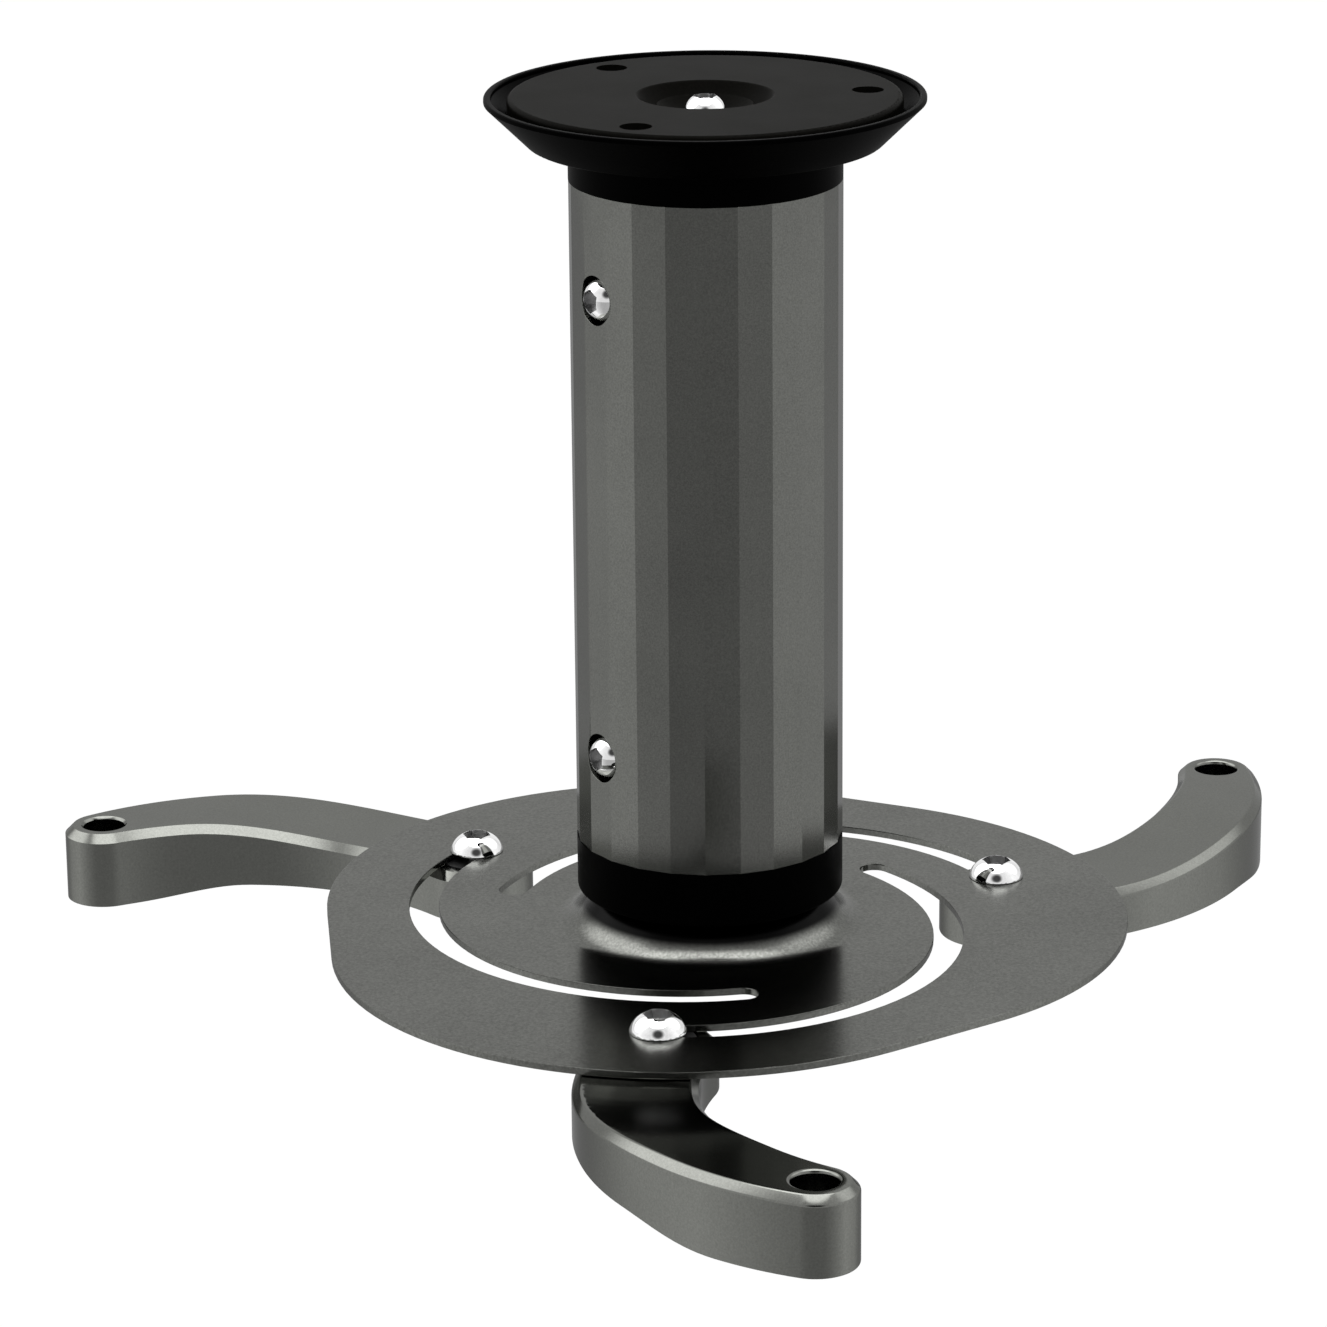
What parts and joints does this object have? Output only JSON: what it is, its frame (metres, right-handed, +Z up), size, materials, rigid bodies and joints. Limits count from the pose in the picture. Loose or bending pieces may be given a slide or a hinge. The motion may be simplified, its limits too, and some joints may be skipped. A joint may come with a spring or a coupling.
{
  "type": "projector ceiling mount",
  "caption": "Ceiling mount for a projector: round canopy, faceted tube between ball joints, and a lobed plate with curved slots and curved swinging arms.",
  "frame": {"origin": "centre of the ceiling plane, in the middle of the ceiling plate", "axes": "+Z up into the ceiling along the tube; +X through one of the ceiling plate's screw holes, which is also the direction of the first lobe of the device plate"},
  "size_m": [0.3079, 0.2752, 0.2195],
  "materials": {
    "canopy_plastic": "satin black moulding",
    "black_plastic": "smooth black moulding",
    "black_steel": "fine powder coat",
    "tube_aluminium": "dark grey satin coat on flat facets",
    "plate_steel": "fine grained dark grey metallic coat",
    "arm_casting": "fine grained dark grey metallic coat",
    "nylon": "plain",
    "zinc_steel": "zinc plated",
    "chrome_steel": "bright plated"
  },
  "bodies": {
    "ceiling_plate": {"ceiling_plate": "black_steel", "canopy": "canopy_plastic"},
    "upper_friction_ring": {"upper_friction_ring": "nylon"},
    "upper_bolt": {"upper_bolt": "chrome_steel", "upper_dished_washer": "black_steel"},
    "column": {"column_tube": "tube_aluminium", "top_collar": "black_plastic", "bottom_cup": "black_plastic", "upper_plain_washer": "zinc_steel", "upper_lock_nut": "zinc_steel", "lower_plain_washer": "zinc_steel", "lower_lock_nut": "zinc_steel", "upper_side_screw_front": "chrome_steel", "upper_side_screw_back": "chrome_steel", "lower_side_screw_front": "chrome_steel", "lower_side_screw_back": "chrome_steel"},
    "lower_bolt": {"lower_bolt": "chrome_steel", "lower_dished_washer": "zinc_steel"},
    "lower_friction_ring": {"lower_friction_ring": "nylon"},
    "device_plate": {"device_plate": "plate_steel"},
    "arm_carrier_1": {"arm_screw_1": "chrome_steel", "arm_washer_1": "nylon"},
    "arm_1": {"arm_1": "arm_casting", "arm_lock_nut_1": "zinc_steel"},
    "arm_carrier_2": {"arm_screw_2": "chrome_steel", "arm_washer_2": "nylon"},
    "arm_2": {"arm_2": "arm_casting", "arm_lock_nut_2": "zinc_steel"},
    "arm_carrier_3": {"arm_screw_3": "chrome_steel", "arm_washer_3": "nylon"},
    "arm_3": {"arm_3": "arm_casting", "arm_lock_nut_3": "zinc_steel"}
  },
  "joints": [
    {"name": "upper_tilt_x", "type": "hinge", "parent": "ceiling_plate", "child": "upper_friction_ring", "pos_m": [0, 0, 0.0121], "axis": [1, 0, 0], "range_deg": [-10, 10]},
    {"name": "upper_tilt_y", "type": "hinge", "parent": "upper_friction_ring", "child": "upper_bolt", "pos_m": [0, 0, 0.0121], "axis": [0, 1, 0], "range_deg": [-10, 10]},
    {"name": "upper_swivel", "type": "hinge", "parent": "upper_bolt", "child": "column", "pos_m": [0, 0, 0], "axis": [0, 0, 1], "continuous": true},
    {"name": "lower_swivel", "type": "hinge", "parent": "column", "child": "lower_bolt", "pos_m": [0, 0, -0.1805], "axis": [0, 0, 1], "continuous": true},
    {"name": "lower_tilt_x", "type": "hinge", "parent": "lower_bolt", "child": "lower_friction_ring", "pos_m": [0, 0, -0.2235], "axis": [1, 0, 0], "range_deg": [-5, 5]},
    {"name": "lower_tilt_y", "type": "hinge", "parent": "lower_friction_ring", "child": "device_plate", "pos_m": [0, 0, -0.2235], "axis": [0, 1, 0], "range_deg": [-5, 5]},
    {"name": "arm_1_slide", "type": "hinge", "parent": "device_plate", "child": "arm_carrier_1", "pos_m": [0.01256, -0.0019, -0.2026], "axis": [0, 0, 1], "range_deg": [0, 40]},
    {"name": "arm_1_swing", "type": "hinge", "parent": "arm_carrier_1", "child": "arm_1", "pos_m": [0.073, 0.01974, -0.2026], "axis": [0, 0, 1], "range_deg": [-3, 10]},
    {"name": "arm_2_slide", "type": "hinge", "parent": "device_plate", "child": "arm_carrier_2", "pos_m": [-0.00463, 0.01182, -0.2026], "axis": [0, 0, 1], "range_deg": [0, 40]},
    {"name": "arm_2_swing", "type": "hinge", "parent": "arm_carrier_2", "child": "arm_2", "pos_m": [-0.0536, 0.05335, -0.2026], "axis": [0, 0, 1], "range_deg": [-3, 10]},
    {"name": "arm_3_slide", "type": "hinge", "parent": "device_plate", "child": "arm_carrier_3", "pos_m": [-0.00792, -0.00992, -0.2026], "axis": [0, 0, 1], "range_deg": [0, 40]},
    {"name": "arm_3_swing", "type": "hinge", "parent": "arm_carrier_3", "child": "arm_3", "pos_m": [-0.0194, -0.07309, -0.2026], "axis": [0, 0, 1], "range_deg": [-3, 10]}
  ]
}
